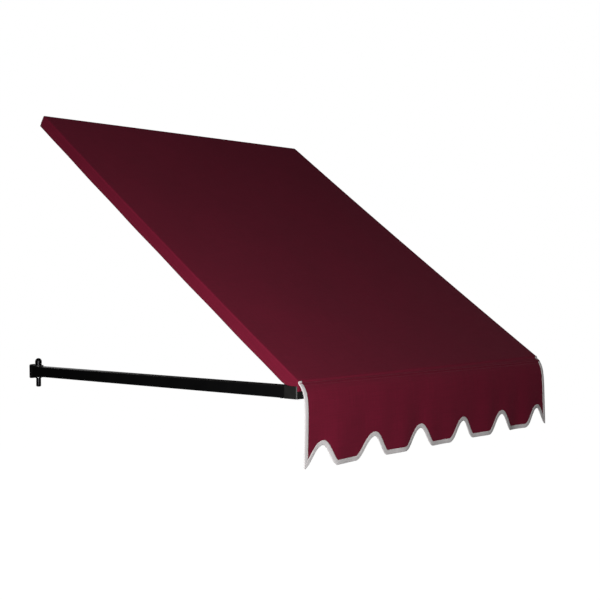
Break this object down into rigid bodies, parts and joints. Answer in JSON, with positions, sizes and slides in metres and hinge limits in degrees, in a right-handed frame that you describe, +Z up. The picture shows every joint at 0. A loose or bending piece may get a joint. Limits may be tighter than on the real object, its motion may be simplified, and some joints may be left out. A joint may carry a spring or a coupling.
{
  "type": "window awning",
  "caption": "Fixed-frame window awning: woven cover on a square-tube frame, scalloped valance with white binding, swivelling wall brackets.",
  "frame": {"origin": "centre of the middle head bracket's wall face, in the wall plane", "axes": "+Z up, +X along the wall to the right as seen from outside, -Y out from the wall"},
  "size_m": [1.0418, 1.0344, 0.8752],
  "materials": {
    "cover_cloth": "burgundy woven acrylic, matt",
    "valance_cloth": "burgundy woven acrylic, matt",
    "binding_tape": "white twill tape, stitched",
    "frame_tube": "black powder coat, satin",
    "corner_moulding": "charcoal moulded nylon",
    "end_plug": "black moulded nylon",
    "bracket_steel": "black coated steel",
    "pivot_steel": "blackened steel, satin",
    "screw_steel": "zinc plated"
  },
  "bodies": {
    "awning": {"arm_left": "frame_tube", "arm_plug_left": "end_plug", "arm_plug_right": "end_plug", "arm_right": "frame_tube", "arm_screw_left": "screw_steel", "arm_screw_right": "screw_steel", "canopy_cover": "cover_cloth", "cover_screw_front_1": "screw_steel", "cover_screw_front_2": "screw_steel", "cover_screw_front_3": "screw_steel", "cover_screw_front_4": "screw_steel", "cover_screw_front_5": "screw_steel", "cover_screw_head_1": "screw_steel", "cover_screw_head_2": "screw_steel", "cover_screw_head_3": "screw_steel", "cover_screw_head_4": "screw_steel", "cover_screw_head_5": "screw_steel", "front_corner_left": "corner_moulding", "front_corner_right": "corner_moulding", "front_rail": "frame_tube", "front_rail_screw_left": "screw_steel", "front_rail_screw_right": "screw_steel", "head_bracket_centre": "bracket_steel", "head_bracket_left": "bracket_steel", "head_bracket_right": "bracket_steel", "head_bracket_screw_centre": "screw_steel", "head_bracket_screw_left": "screw_steel", "head_bracket_screw_right": "screw_steel", "head_corner_left": "corner_moulding", "head_corner_right": "corner_moulding", "head_rail": "frame_tube", "head_rail_screw_left": "screw_steel", "head_rail_screw_right": "screw_steel", "rafter_left": "frame_tube", "rafter_low_screw_left": "screw_steel", "rafter_low_screw_right": "screw_steel", "rafter_right": "frame_tube", "rafter_top_screw_left": "screw_steel", "rafter_top_screw_right": "screw_steel", "valance": "valance_cloth", "valance_binding": "binding_tape"},
    "left_wall_bracket": {"wall_bracket_left": "bracket_steel", "pivot_bolt_left": "pivot_steel", "bracket_washer_left": "screw_steel", "barrel_nut_left": "pivot_steel"},
    "right_wall_bracket": {"wall_bracket_right": "bracket_steel", "pivot_bolt_right": "pivot_steel", "bracket_washer_right": "screw_steel", "barrel_nut_right": "pivot_steel"}
  },
  "joints": [
    {"name": "left_bracket_swivel", "type": "hinge", "parent": "awning", "child": "left_wall_bracket", "pos_m": [-0.502, -0.022, -0.6547], "axis": [0, 0, 1], "range_deg": [-90, 90]},
    {"name": "right_bracket_swivel", "type": "hinge", "parent": "awning", "child": "right_wall_bracket", "pos_m": [0.502, -0.022, -0.6547], "axis": [0, 0, 1], "range_deg": [-90, 90]}
  ]
}
